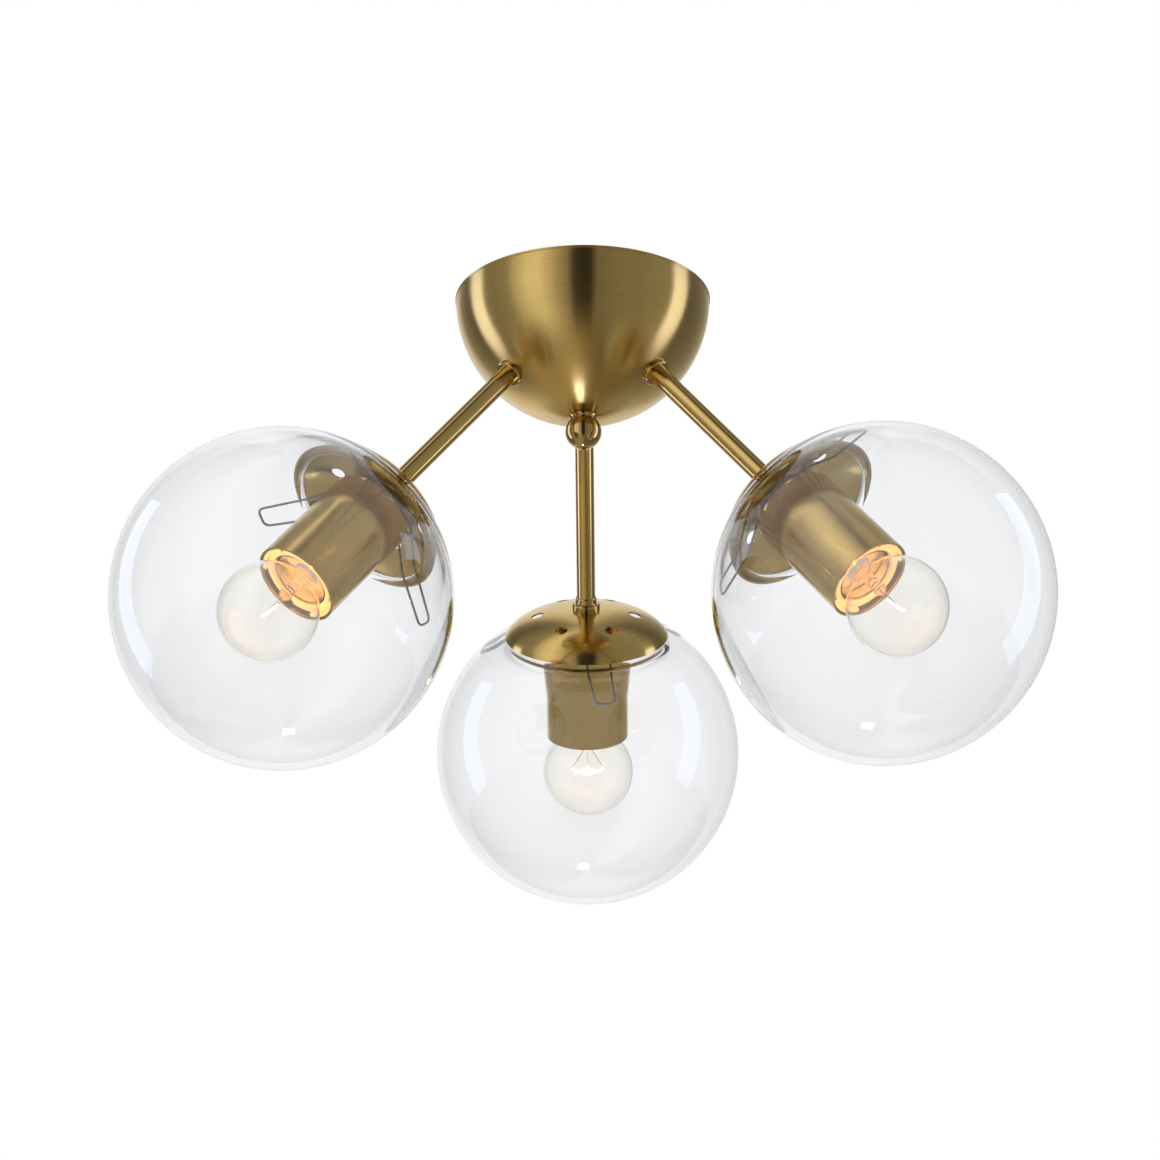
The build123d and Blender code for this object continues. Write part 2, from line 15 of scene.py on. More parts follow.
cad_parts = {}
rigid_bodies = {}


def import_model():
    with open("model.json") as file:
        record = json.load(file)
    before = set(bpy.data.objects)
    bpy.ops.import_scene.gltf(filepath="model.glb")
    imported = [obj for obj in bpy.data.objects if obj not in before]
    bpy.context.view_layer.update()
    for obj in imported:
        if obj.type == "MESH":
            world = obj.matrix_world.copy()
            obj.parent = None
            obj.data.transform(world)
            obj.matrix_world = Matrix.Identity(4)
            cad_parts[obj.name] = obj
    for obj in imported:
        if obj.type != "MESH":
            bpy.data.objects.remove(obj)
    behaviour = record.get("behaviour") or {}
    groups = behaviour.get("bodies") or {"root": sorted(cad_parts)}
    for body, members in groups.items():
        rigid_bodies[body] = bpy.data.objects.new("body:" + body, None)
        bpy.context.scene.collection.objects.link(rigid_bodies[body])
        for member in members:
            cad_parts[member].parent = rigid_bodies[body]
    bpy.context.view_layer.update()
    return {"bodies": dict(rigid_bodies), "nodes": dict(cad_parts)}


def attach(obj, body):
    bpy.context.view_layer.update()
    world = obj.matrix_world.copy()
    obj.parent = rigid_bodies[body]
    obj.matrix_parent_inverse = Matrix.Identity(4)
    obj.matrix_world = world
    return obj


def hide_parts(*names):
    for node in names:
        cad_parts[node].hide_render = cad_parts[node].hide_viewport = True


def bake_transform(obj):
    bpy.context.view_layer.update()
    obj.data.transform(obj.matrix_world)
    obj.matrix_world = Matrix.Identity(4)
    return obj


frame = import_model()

# %% [markdown]
# ## The camera
# The photograph was taken from below and straight ahead, from about a metre and a half away, through a long
# lens. These numbers were found by matching the round outlines of the globes, the bulbs and the canopy's rim.
# A camera in Blender looks down its own -Z, so its matrix is built from three directions: right, up and
# backwards.

# %% Where the camera stands
MM = 0.001
CAMERA_AZIMUTH = 0.535
CAMERA_BELOW = 25.284
CAMERA_DISTANCE = 1592.08 * MM
CAMERA_ROLL = -0.258
CAMERA_AIM = Vector((-1.883, 0, -141.263)) * MM
CAMERA_LENS = 103.83
CAMERA_SENSOR = 36


def direction(azimuth, elevation):
    """Unit vector from the light's middle: azimuth 0 is towards the camera, and 90 is to its right."""
    turn, lift = math.radians(azimuth), math.radians(elevation)
    return Vector((math.sin(turn) * math.cos(lift), -math.cos(turn) * math.cos(lift), math.sin(lift)))


def look_matrix(place, aim, roll=0.0):
    """Matrix of a camera or lamp at place that faces aim."""
    ahead = (aim - place).normalized()
    right = ahead.cross(Vector((0, 0, 1))).normalized()
    up = right.cross(ahead)
    c, s = math.cos(math.radians(roll)), math.sin(math.radians(roll))
    axes = Matrix((right * c + up * s, up * c - right * s, -ahead)).transposed()
    return Matrix.Translation(place) @ axes.to_4x4()


scene = bpy.context.scene
camera = bpy.data.objects.new("camera", bpy.data.cameras.new("camera"))
scene.collection.objects.link(camera)
camera_place = direction(CAMERA_AZIMUTH, -CAMERA_BELOW) * CAMERA_DISTANCE
camera.matrix_world = look_matrix(camera_place, CAMERA_AIM, CAMERA_ROLL)
camera.data.sensor_width = CAMERA_SENSOR
camera.data.lens = CAMERA_LENS
scene.camera = camera
print("the camera stands at", [round(x, 3) for x in camera_place])

# %% [markdown]
# ## A short way to write nodes
# The room and every material are chains of small nodes. Writing each node and link by hand takes many lines,
# so one helper adds a node, sets its options and joins its inputs in a single call. It gives back the node's
# first output, which the next call takes in. A second helper mixes two colours.

# %% Two helpers for nodes


def add_node(tree, kind, *inputs, out=0, **options):
    """Adds a node. An input is an output of another node, a plain value, or None to leave it alone."""
    node = tree.nodes.new("ShaderNode" + kind)
    for option, value in options.items():
        setattr(node, option, value)
    for socket, value in zip(node.inputs, inputs):
        if isinstance(value, bpy.types.NodeSocket):
            tree.links.new(value, socket)
        elif value is not None:
            socket.default_value = value
    return node.outputs[out]


def mix_colours(tree, share, colour_a, colour_b):
    """Mixes two colours by a share from 0 to 1."""
    mix = tree.nodes.new("ShaderNodeMix")
    mix.data_type = "RGBA"
    tree.links.new(share, mix.inputs["Factor"])
    mix.inputs["A"].default_value = (*colour_a, 1)
    mix.inputs["B"].default_value = (*colour_b, 1)
    return mix.outputs["Result"]


# %% [markdown]
# ## The studio
# Polished metal and glass have hardly any colour of their own. What they show is the room, so the room is
# built for them. The photograph tells what stood there: the canopy mirrors a bright narrow softbox on each
# side, paler screens between them and the camera, a dark gap straight ahead where the camera stood, a bright
# backdrop behind and a table low down. Each globe also mirrors a small bright window from below and behind.
# The softboxes and the window are lamps. The rest is painted on the world by direction, as grey levels at a
# few bearings, which leaves no hard shapes in the glass.

# %% The painted room
ROOM_STOPS = (
    (-180, 0.98), (-166, 0.98), (-153, 0.80), (-139, 0.26), (-122, 0.15), (-88, 0.30), (-72, 0.36),
    (-60, 0.76), (-50, 1.04), (-40, 1.08), (-31, 0.82), (-21, 0.50), (-13, 0.34), (-8, 0.05),
    (8, 0.03), (14, 0.25), (45, 0.31), (76, 0.36), (112, 0.15), (128, 0.20), (142, 0.28),
    (156, 0.44), (170, 0.88), (180, 0.98),
)
TABLE_LEFT, TABLE_RIGHT = 0.46, 0.20
TABLE_FROM_X, TABLE_TO_X = -0.12, 0.18
TABLE_STARTS, TABLE_IS_FULL = -0.56, -0.90
TABLE_TINT = (1.0, 0.85, 0.58)
WHITE = (1, 1, 1)

scene.view_settings.view_transform = "Standard"
world = bpy.data.worlds.new("studio")
scene.world = world
world.use_nodes = True
sky = world.node_tree


def sky_maths(operation, *inputs):
    return add_node(sky, "Math", *inputs, operation=operation)


toward = add_node(sky, "SeparateXYZ", add_node(sky, "TexCoord")).node.outputs
bearing = sky_maths("ARCTAN2", toward["X"], sky_maths("MULTIPLY", toward["Y"], -1.0))
round_share = sky_maths("ADD", sky_maths("DIVIDE", bearing, 2 * math.pi), 0.5)
wall_level = add_node(sky, "ValToRGB", round_share)
ramp = wall_level.node.color_ramp
ramp.interpolation = "EASE"
while len(ramp.elements) < len(ROOM_STOPS):
    ramp.elements.new(0.5)
for stop, (angle, room_level) in zip(ramp.elements, ROOM_STOPS):
    stop.position = (angle + 180) / 360
    stop.color = (room_level,) * 3 + (1,)
low_down = add_node(sky, "MapRange", toward["Z"], TABLE_STARTS, TABLE_IS_FULL, 0.0, 1.0)
low_down.node.interpolation_type = "SMOOTHSTEP"
table_level = add_node(sky, "MapRange", toward["X"], TABLE_FROM_X, TABLE_TO_X, TABLE_LEFT, TABLE_RIGHT)
plain_room = add_node(sky, "Mix", low_down, None, wall_level, table_level)
print("the room has", len(ROOM_STOPS), "levels of grey")

# %% [markdown]
# ## Who sees the room
# The camera gets a plain white background instead of the room, and so does whatever it sees through glass.
# Brass inside a globe has to mirror the room, though its rays leave through the glass. The two are told apart
# by what the ray has met so far. One that has met a mirror and more than one wall of glass gets the room,
# with a fifth of the white left in it. The limits below lie between two whole counts.

# %% White for the camera, the room for the mirrors
MIRRORED_WHITE = 0.20
NO_MIRROR_YET = 0.5
ONE_WALL_OF_GLASS = 2.5

ray = add_node(sky, "LightPath").node.outputs
unmirrored = sky_maths("LESS_THAN", ray["Glossy Depth"], NO_MIRROR_YET)
in_one_wall = sky_maths("LESS_THAN", ray["Transmission Depth"], ONE_WALL_OF_GLASS)
direct = sky_maths("MAXIMUM", unmirrored, in_one_wall)
white_share = sky_maths("MAXIMUM", direct, MIRRORED_WHITE)
through = sky_maths("MULTIPLY", ray["Is Transmission Ray"], white_share)
seen = sky_maths("MAXIMUM", ray["Is Camera Ray"], through)
level = add_node(sky, "Mix", seen, None, plain_room, 1.0)
warm = sky_maths("MULTIPLY", low_down, sky_maths("SUBTRACT", 1.0, seen))
background = sky.nodes["Background"].inputs
sky.links.new(mix_colours(sky, warm, WHITE, TABLE_TINT), background["Color"])
sky.links.new(level, background["Strength"])
print("the world has", len(sky.nodes), "nodes")

# %% Softboxes and the low window
STUDIO_MIDDLE = Vector((0, 0, -0.12))
SOFTBOX_COLOUR = (0.91, 1.0, 1.42)
SOFTBOX_LEVEL, WINDOW_LEVEL = 1.50, 17.0
WINDOW_PLACE = STUDIO_MIDDLE + direction(-174, -65) * 1.8


def softbox(name, place, width, height, level):
    """A rectangular lamp that faces the light's axis, as bright as the level says, where 1 is white."""
    lamp = bpy.data.lights.new(name, "AREA")
    lamp.shape = "RECTANGLE"
    lamp.color = SOFTBOX_COLOUR
    lamp.size, lamp.size_y = width, height
    lamp.energy = level * math.pi * width * height
    stand = bpy.data.objects.new(name, lamp)
    scene.collection.objects.link(stand)
    stand.matrix_world = look_matrix(Vector(place), STUDIO_MIDDLE)
    stand.visible_camera = stand.visible_transmission = False
    print(name, "stands at", [round(x, 2) for x in place])


softbox("strip_left", (-0.763, 0.205, -0.03), 0.23, 0.82, SOFTBOX_LEVEL)
softbox("strip_right", (0.66, 0.047, -0.07), 0.20, 0.74, SOFTBOX_LEVEL)
softbox("low_window", WINDOW_PLACE, 0.16, 0.20, WINDOW_LEVEL)

# %% [markdown]
# ## The floor
# A ceiling light hangs above a floor, so a pale one lies a room's height below. It takes the light's shadow
# and throws a little light back up. Mirror rays pass through it to the painted room, whose own table level
# stands for it there.

# %% A pale floor
FLOOR_DROP = 2.2
FLOOR_HALF = 8.0


def deselect():
    bpy.ops.object.select_all(action="DESELECT")


deselect()
bpy.ops.mesh.primitive_plane_add(size=2 * FLOOR_HALF, location=(0, 0, -FLOOR_DROP))
floor = bpy.context.object
floor.name = "floor"
floor.visible_glossy = False
print("the floor lies", FLOOR_DROP, "m below the ceiling")

# %% [markdown]
# ## One recipe for every material
# A material starts from a plain colour and a roughness. The recipe keeps its node tree and has a short name
# for each step that comes back: noise in the room's own metres, a range, a dab of two colours, a bump.

# %% The recipe


class Recipe:
    """The node tree of one material."""

    def __init__(self, name, colour, roughness, metallic=0.0):
        self.material = bpy.data.materials.new(name)
        self.material.use_nodes = True
        self.tree = self.material.node_tree
        self.shader = self.tree.nodes["Principled BSDF"]
        self.set("Base Color", (*colour, 1))
        self.set("Roughness", roughness)
        self.set("Metallic", metallic)

    def set(self, socket, value):
        self.shader.inputs[socket].default_value = value

    def join(self, output, socket):
        self.tree.links.new(output, self.shader.inputs[socket])

    def step(self, kind, *inputs, out=0, **options):
        return add_node(self.tree, kind, *inputs, out=out, **options)

    def maths(self, operation, *inputs):
        return self.step("Math", *inputs, operation=operation)

    def vector(self, operation, *inputs, out=0):
        return self.step("VectorMath", *inputs, out=out, operation=operation)

    def place(self):
        """Object coordinates, which are the room's own metres on every piece."""
        return self.step("TexCoord", out="Object")

    def noise(self, vector, scale, detail=2.0):
        return self.step("TexNoise", vector, None, scale, detail)

    def between(self, value, low, high, to_low, to_high):
        return self.step("MapRange", value, low, high, to_low, to_high)

    def dab(self, share, colour_a, colour_b):
        return mix_colours(self.tree, share, colour_a, colour_b)

    def bump(self, height, strength, distance):
        self.join(self.step("Bump", strength, distance, None, height), "Normal")


def scaled(colour, factor):
    """The colour made darker or lighter, with no part of it over 1."""
    return tuple(min(1.0, c * factor) for c in colour)


def paint(material, *objects):
    """Gives each object this material alone."""
    for thing in objects:
        thing.data.materials.clear()
        thing.data.materials.append(material)


def finish_nodes(material, *names):
    """Paints the named solids."""
    paint(material, *(frame["nodes"][name] for name in names))


# %% [markdown]
# ## The floor's paint
# The room is kept dim so that the brass shows its dark bands. The floor would look grey in it, so it is made
# paler for the camera alone, also where the camera sees it through glass. Its shadows stay.

# %% Pale paint
FLOOR_LIFT = 0.5
FLOOR_COLOUR, FLOOR_DARK, FLOOR_LIGHT = (0.86, 0.86, 0.85), (0.84, 0.84, 0.83), (0.88, 0.88, 0.87)

floor_paint = Recipe("floor_paint", FLOOR_COLOUR, 0.7)
floor_cloud = floor_paint.noise(floor_paint.place(), 1.5, 3.0)
floor_paint.join(floor_paint.dab(floor_cloud, FLOOR_DARK, FLOOR_LIGHT), "Base Color")
floor_ray = floor_paint.step("LightPath").node.outputs
floor_unmirrored = floor_paint.maths("LESS_THAN", floor_ray["Glossy Depth"], NO_MIRROR_YET)
floor_through = floor_paint.maths("MULTIPLY", floor_ray["Is Transmission Ray"], floor_unmirrored)
floor_seen = floor_paint.maths("MAXIMUM", floor_ray["Is Camera Ray"], floor_through)
floor_paint.set("Emission Color", (*WHITE, 1))
floor_paint.join(floor_paint.maths("MULTIPLY", floor_seen, FLOOR_LIFT), "Emission Strength")
paint(floor_paint.material, floor)
print("the floor is painted", floor_paint.material.name)

# %% [markdown]
# ## The arms' own axes
# The brush marks on an arm, a cap or a cup follow that arm, not the room. All three arms start from one
# point, the middle of the canopy's rim, so one direction for each arm is all that its materials need. Pieces
# that are the same on every arm are modelled once, upright at that point, and each copy is laid along its
# own arm.

# %% One direction for each arm
ARMS = {"right": -30.0, "left": 210.0, "back": 90.0}
ARM_DROP = 49.5


def arm_axis(name):
    turn, drop = math.radians(ARMS[name]), math.radians(ARM_DROP)
    return Vector((math.cos(turn) * math.cos(drop), math.sin(turn) * math.cos(drop), -math.sin(drop)))


def arm_matrix(name):
    """Turns an upright piece so that its Z runs down the arm and its X is level."""
    turn = math.radians(ARMS[name])
    along = arm_axis(name)
    level = Vector((-math.sin(turn), math.cos(turn), 0))
    return Matrix((level, along.cross(level), along)).transposed().to_4x4()


for arm in ARMS:
    print("the", arm, "arm runs along", [round(x, 3) for x in arm_axis(arm)])

# %% [markdown]
# ## Brushed brass
# The canopy, the caps and the cups were spun on a lathe and brushed while they turned, so the marks run round
# them. The tubes were drawn, so their marks run along them. Noise that is stretched a hundred times longer
# one way than the other makes both. Fine marks also smear a reflection across themselves and leave it sharp
# along themselves, which the shader calls anisotropy. Its tangent is worked out from the axis and the place,
# and a quarter turn lays it across the rings.

# %% Brass that was brushed round or along its axis
RING_SCALES, DRAWN_SCALES = (1.6, 3400.0), (9.0, 6.0)
BRASS_CLOUD = 30.0
BRASS_DARK, BRASS_LIGHT = 0.90, 1.07
RING_ROUGHNESS_SWING = 0.02
BRUSH_DEPTH = 0.000006
QUARTER_TURN = 0.25


def brushed_brass(name, colour, roughness, axis, along=False, mark=0.0, smear=0.8):
    recipe = Recipe(name, colour, roughness, metallic=1.0)
    place, axis = recipe.place(), tuple(axis)
    height = recipe.vector("DOT_PRODUCT", place, axis, out="Value")
    outward = recipe.vector("SUBTRACT", place, recipe.vector("SCALE", axis, None, None, height))
    radius = recipe.vector("LENGTH", outward, out="Value")
    facing = recipe.vector("NORMALIZE", outward)
    profile = height if along else recipe.maths("SUBTRACT", height, radius)
    round_scale, line_scale = DRAWN_SCALES if along else RING_SCALES
    circle = recipe.vector("SCALE", facing, None, None, round_scale)
    line = recipe.vector("SCALE", axis, None, None, recipe.maths("MULTIPLY", profile, line_scale))
    grain = recipe.noise(recipe.vector("ADD", circle, line), 1.0)
    cloud = recipe.noise(place, BRASS_CLOUD)
    tone = recipe.between(recipe.maths("ADD", grain, cloud), 0.7, 1.3, 0.0, 1.0)
    recipe.join(recipe.dab(tone, scaled(colour, BRASS_DARK), scaled(colour, BRASS_LIGHT)), "Base Color")
    swing = 0.0 if along else RING_ROUGHNESS_SWING
    recipe.join(recipe.between(grain, 0.3, 0.7, roughness - swing, roughness + swing), "Roughness")
    recipe.set("Anisotropic", smear)
    recipe.set("Anisotropic Rotation", 0.0 if along else QUARTER_TURN)
    recipe.join(recipe.vector("NORMALIZE", recipe.vector("CROSS_PRODUCT", axis, outward)), "Tangent")
    if mark:
        recipe.bump(grain, mark, BRUSH_DEPTH)
    return recipe.material


BRASS = (0.65, 0.455, 0.158)
CUP_BRASS = (0.68, 0.47, 0.175)
DOWN = Vector((0, 0, -1))
finish_nodes(brushed_brass("canopy_brass", BRASS, 0.24, DOWN, mark=0.2, smear=0.93), "canopy")
for arm in ARMS:
    axis = arm_axis(arm)
    cap_brass = brushed_brass(f"cap_brass_{arm}", BRASS, 0.17, axis, mark=0.2)
    tube_brass = brushed_brass(f"tube_brass_{arm}", BRASS, 0.14, axis, along=True, smear=0.3)
    cup_brass = brushed_brass(f"cup_brass_{arm}", CUP_BRASS, 0.17, axis, mark=0.3, smear=0.7)
    finish_nodes(cap_brass, f"shade_cap_{arm}")
    finish_nodes(tube_brass, f"arm_tube_{arm}")
    finish_nodes(cup_brass, f"holder_cup_{arm}", f"spring_boss_{arm}")
print("brushed brass on", 1 + 4 * len(ARMS), "pieces")

# %% [markdown]
# ## Polished brass and plain metals
# The finial and the collars were turned and polished, so they mirror the room sharply. The bracket and the
# nuts are zinc plated, which looks cloudy and a little blue. The springs are bare steel wire, and the small
# screws are brighter.

# %% Polished brass, zinc, steel and nickel
METAL_DARK = 0.86


def smooth_metal(name, colour, roughness, cloud_scale, swing):
    recipe = Recipe(name, colour, roughness, metallic=1.0)
    cloud = recipe.noise(recipe.place(), cloud_scale, 3.0)
    least, most = max(0.0, roughness - swing / 2), roughness + swing
    recipe.join(recipe.between(cloud, 0.3, 0.7, least, most), "Roughness")
    recipe.join(recipe.dab(cloud, scaled(colour, METAL_DARK), colour), "Base Color")
    return recipe.material


polished = smooth_metal("polished_brass", (0.60, 0.43, 0.16), 0.07, 40.0, 0.03)
zinc = smooth_metal("zinc_plate", (0.56, 0.57, 0.58), 0.34, 180.0, 0.12)
wire = smooth_metal("spring_wire", (0.38, 0.38, 0.38), 0.22, 300.0, 0.05)
bright = smooth_metal("bright_screws", (0.68, 0.67, 0.64), 0.22, 300.0, 0.08)
nickel = smooth_metal("nickel_plate", (0.74, 0.66, 0.50), 0.18, 120.0, 0.08)
finish_nodes(polished, "finial", "canopy_collars", "cap_collars")
finish_nodes(zinc, "ceiling_bracket", "rod_nuts", "arm_washers", "arm_nuts", "cap_nuts")
finish_nodes(bright, "terminal_screws", "block_screw", "earth_screw")
for arm in ARMS:
    finish_nodes(wire, f"spring_clips_{arm}")
    finish_nodes(nickel, f"centre_contact_{arm}")
for metal in (polished, zinc, wire, bright, nickel):
    print("a smooth metal:", metal.name)

# %% [markdown]
# ## Plastics
# The lampholder is cream plastic that stands the heat. The connector block is cloudy white nylon. The leads
# are brown, blue, and green with a yellow stripe.

# %% Cream holder, white block and the leads
PLASTIC_GRAIN, PLASTIC_DARK = 900.0, 0.93
GLOW_REACH = (0.004, 0.0025, 0.001)
EARTH_GREEN, EARTH_YELLOW = (0.10, 0.32, 0.05), (0.80, 0.62, 0.04)
STRIPE_RATE, STRIPE_LEVEL = 2200.0, 0.2
LEAD_ROUGHNESS = 0.42


def moulded(name, colour, roughness, through=0.0):
    recipe = Recipe(name, colour, roughness)
    grain = recipe.noise(recipe.place(), PLASTIC_GRAIN)
    recipe.join(recipe.dab(grain, scaled(colour, PLASTIC_DARK), colour), "Base Color")
    recipe.bump(grain, 0.15, 0.00005)
    recipe.set("Subsurface Weight", through)
    recipe.set("Subsurface Radius", GLOW_REACH)
    return recipe.material


def striped_lead():
    """Green with yellow bands, which a wave along the room's X lays down."""
    recipe = Recipe("earth_lead", EARTH_GREEN, LEAD_ROUGHNESS)
    across = recipe.step("SeparateXYZ", recipe.place(), out="X")
    wave = recipe.maths("SINE", recipe.maths("MULTIPLY", across, STRIPE_RATE))
    stripe = recipe.maths("GREATER_THAN", wave, STRIPE_LEVEL)
    recipe.join(recipe.dab(stripe, EARTH_GREEN, EARTH_YELLOW), "Base Color")
    return recipe.material


holder = moulded("holder_plastic", (0.86, 0.70, 0.42), 0.32, through=0.25)
block = moulded("block_plastic", (0.80, 0.81, 0.78), 0.38, through=0.2)
brown = moulded("brown_lead", (0.13, 0.055, 0.025), LEAD_ROUGHNESS)
blue = moulded("blue_lead", (0.03, 0.10, 0.38), LEAD_ROUGHNESS)
finish_nodes(block, "terminal_block")
for arm in ARMS:
    finish_nodes(holder, f"lampholder_{arm}")
print("the plastics are", holder.name, block.name, brown.name, "and", blue.name)

# %% [markdown]
# ## Glass
# The globes and bulbs are real shells with a wall, so plain clear glass bends the view at their edges as it
# does in the photograph. Shadow rays go straight through, so the lamps can light what is inside. The lit
# bulb's own light fogs its thin wall a little, and a faint emission stands for that.

# %% Clear glass
GLASS_IOR = 1.47
BULB_LIGHT = (1.0, 0.90, 0.74, 1)
RIPPLE_SCALE, RIPPLE_DEPTH = 14.0, 0.0005


def clear_glass(name, colour, ripple=0.0, glow=0.0):
    recipe = Recipe(name, colour, 0.0)
    recipe.set("Transmission Weight", 1.0)
    recipe.set("IOR", GLASS_IOR)
    recipe.set("Emission Color", BULB_LIGHT)
    recipe.set("Emission Strength", glow)
    if ripple:
        recipe.bump(recipe.noise(recipe.place(), RIPPLE_SCALE, 1.0), ripple, RIPPLE_DEPTH)
    clear = recipe.step("BsdfTransparent", (*colour, 1))
    shadow = recipe.step("LightPath", out="Is Shadow Ray")
    both = recipe.step("MixShader", shadow, recipe.shader.outputs[0], clear)
    recipe.tree.links.new(both, recipe.tree.nodes["Material Output"].inputs["Surface"])
    return recipe.material


globe_glass = clear_glass("globe_glass", (0.972, 0.980, 0.987), ripple=0.03)
bulb_glass = clear_glass("bulb_glass", (0.985, 0.975, 0.955), glow=0.03)
for arm in ARMS:
    finish_nodes(bulb_glass, f"bulb_stem_{arm}")
print("the glass is", globe_glass.name, "and", bulb_glass.name)

# %% [markdown]
# ## Drawing, winding and trimming
# Glass, screw threads, coils and rings are all a small outline carried round an axis. The outline is drawn as
# a draughtsman would: one point is extruded to the next. The Screw modifier then carries it round Z, and
# climbs with every turn if it is told to. What sticks out at the ends is cut off with the bisect tool.

# %% Tools for picking and placing pieces


def pick(*pieces):
    """Selects the pieces alone and makes the first of them active."""
    deselect()
    for piece in pieces:
        piece.select_set(True)
    bpy.context.view_layer.objects.active = pieces[0]
    return pieces[0]


def smooth(piece, angle=40):
    pick(piece)
    bpy.ops.object.shade_smooth_by_angle(angle=math.radians(angle))
    return piece


def lay(piece, matrix):
    """Moves the piece by a matrix and writes its new place into its mesh."""
    pick(piece).matrix_world = matrix
    bpy.ops.object.transform_apply(location=True, rotation=True, scale=True)
    return piece


def joined(name, parts):
    """Makes the parts one piece."""
    whole = pick(*parts)
    bpy.ops.object.join()
    whole.name = name
    return whole


def on_every_arm(pattern, material, body, node=None):
    """Lays a copy of the pattern along each arm. It rides on the arm's body and may stand for its node."""
    paint(material, pattern)
    for arm in ARMS:
        piece = pattern.copy()
        piece.data = pattern.data.copy()
        piece.name = f"{pattern.name}_{arm}"
        scene.collection.objects.link(piece)
        lay(piece, arm_matrix(arm))
        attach(piece, body.format(arm))
        if node:
            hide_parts(f"{node}_{arm}")
    print(pattern.name, "has", len(pattern.data.polygons), "faces")
    bpy.data.objects.remove(pattern)


# %% Tools for turned and threaded pieces


def edit(on):
    bpy.ops.object.mode_set(mode="EDIT" if on else "OBJECT")


def outline(name, *points):
    """Draws edges from point to point, each given as (distance from Z, height) in millimetres."""
    deselect()
    bpy.ops.mesh.primitive_plane_add(size=MM)
    piece = bpy.context.object
    piece.name = name
    spots = [Vector((x, 0, z)) * MM for x, z in points]
    edit(True)
    bpy.ops.mesh.merge(type="CENTER")
    bpy.ops.transform.translate(value=spots[0])
    for here, there in zip(spots, spots[1:]):
        bpy.ops.mesh.extrude_region_move(TRANSFORM_OT_translate={"value": there - here})
    edit(False)
    return piece


def wind(piece, rise, rounds, steps):
    """Carries the outline round Z, climbing by rise millimetres a round, and closes the seams."""
    screw = piece.modifiers.new("wind", "SCREW")
    screw.screw_offset = rise * MM
    screw.iterations = rounds
    screw.steps = screw.render_steps = steps
    bpy.ops.object.modifier_apply(modifier="wind")
    edit(True)
    bpy.ops.mesh.select_all(action="SELECT")
    bpy.ops.mesh.remove_doubles(threshold=0.001 * MM)
    bpy.ops.mesh.normals_make_consistent(inside=False)
    edit(False)
    return piece


def turned(name, steps, *points):
    """One round of an outline that doesn't climb."""
    return wind(outline(name, *points), 0, 1, steps)


def trim(piece, low, high, close=False):
    """Cuts off what lies below low and above high, in millimetres."""
    edit(True)
    for height, lower in ((low, True), (high, False)):
        bpy.ops.mesh.select_all(action="SELECT")
        bpy.ops.mesh.bisect(plane_co=(0, 0, height * MM), plane_no=(0, 0, 1), use_fill=close,
                            clear_inner=lower, clear_outer=not lower)
    edit(False)
    return piece


def thicken(piece, wall):
    """Gives a sheet its wall, to the inside of the drawn surface, or to the outside if it is negative."""
    solid = piece.modifiers.new("wall", "SOLIDIFY")
    solid.thickness = wall * MM
    solid.offset = -1
    bpy.ops.object.modifier_apply(modifier="wall")
    return piece


# %% [markdown]
# ## Blown glass
# A glass ball shows every flaw of its surface, so the globes and the bulbs are wound here again from their
# outlines, with even rings of small faces and one clean point at the far end. The outline runs down the
# outside from that point, round the thick lip, and back up the inside. The ball flattens into a shoulder
# before the lip, as the glass does where it was held while it was blown.

# %% An arc as points
GLASS_ROUND = 128
GLASS_SMOOTH = 60
LEAST_STEP = 0.01


def arc(centre, radius, start, end, count):
    """Points along an arc, with angles in degrees from straight out. The outline's Z runs down the arm."""
    turns = [math.radians(start + (end - start) * i / count) for i in range(count + 1)]
    return [(centre[0] + radius * math.cos(a), centre[1] + radius * math.sin(a)) for a in turns]


def turned_glass(name, points):
    """Winds an outline that starts and ends on the axis, without the points that fall together."""
    clean = [points[0]] + [b for a, b in zip(points, points[1:]) if math.dist(a, b) > LEAST_STEP]
    return smooth(turned(name, GLASS_ROUND, *clean), GLASS_SMOOTH)


# %% The globes
GLOBE_R, GLOBE_WALL, GLOBE_MID = 75.0, 2.0, 232.6
BALL_STEPS, SHOULDER_STEPS, LIP_STEPS = 60, 10, 12
OUTER_SHOULDER = {"leaves_at": 50.0, "bend_r": 32.0, "ends_at": 37.5}
INNER_SHOULDER = {"leaves_at": 53.0, "bend_r": 25.6, "ends_at": 36.2}


def ball_and_shoulder(ball_r, leaves_at, bend_r, ends_at):
    """The ball from its far point to where it leaves for the shoulder, and the shoulder to its end."""
    share = 1 - bend_r / ball_r
    centre = (share * leaves_at, GLOBE_MID - share * math.sqrt(ball_r**2 - leaves_at**2))
    leave_angle = -math.degrees(math.acos(leaves_at / ball_r))
    end_angle = -math.degrees(math.acos((ends_at - centre[0]) / bend_r))
    ball = arc((0, GLOBE_MID), ball_r, 90, leave_angle, BALL_STEPS)
    return ball + arc(centre, bend_r, leave_angle, end_angle, SHOULDER_STEPS)[1:]


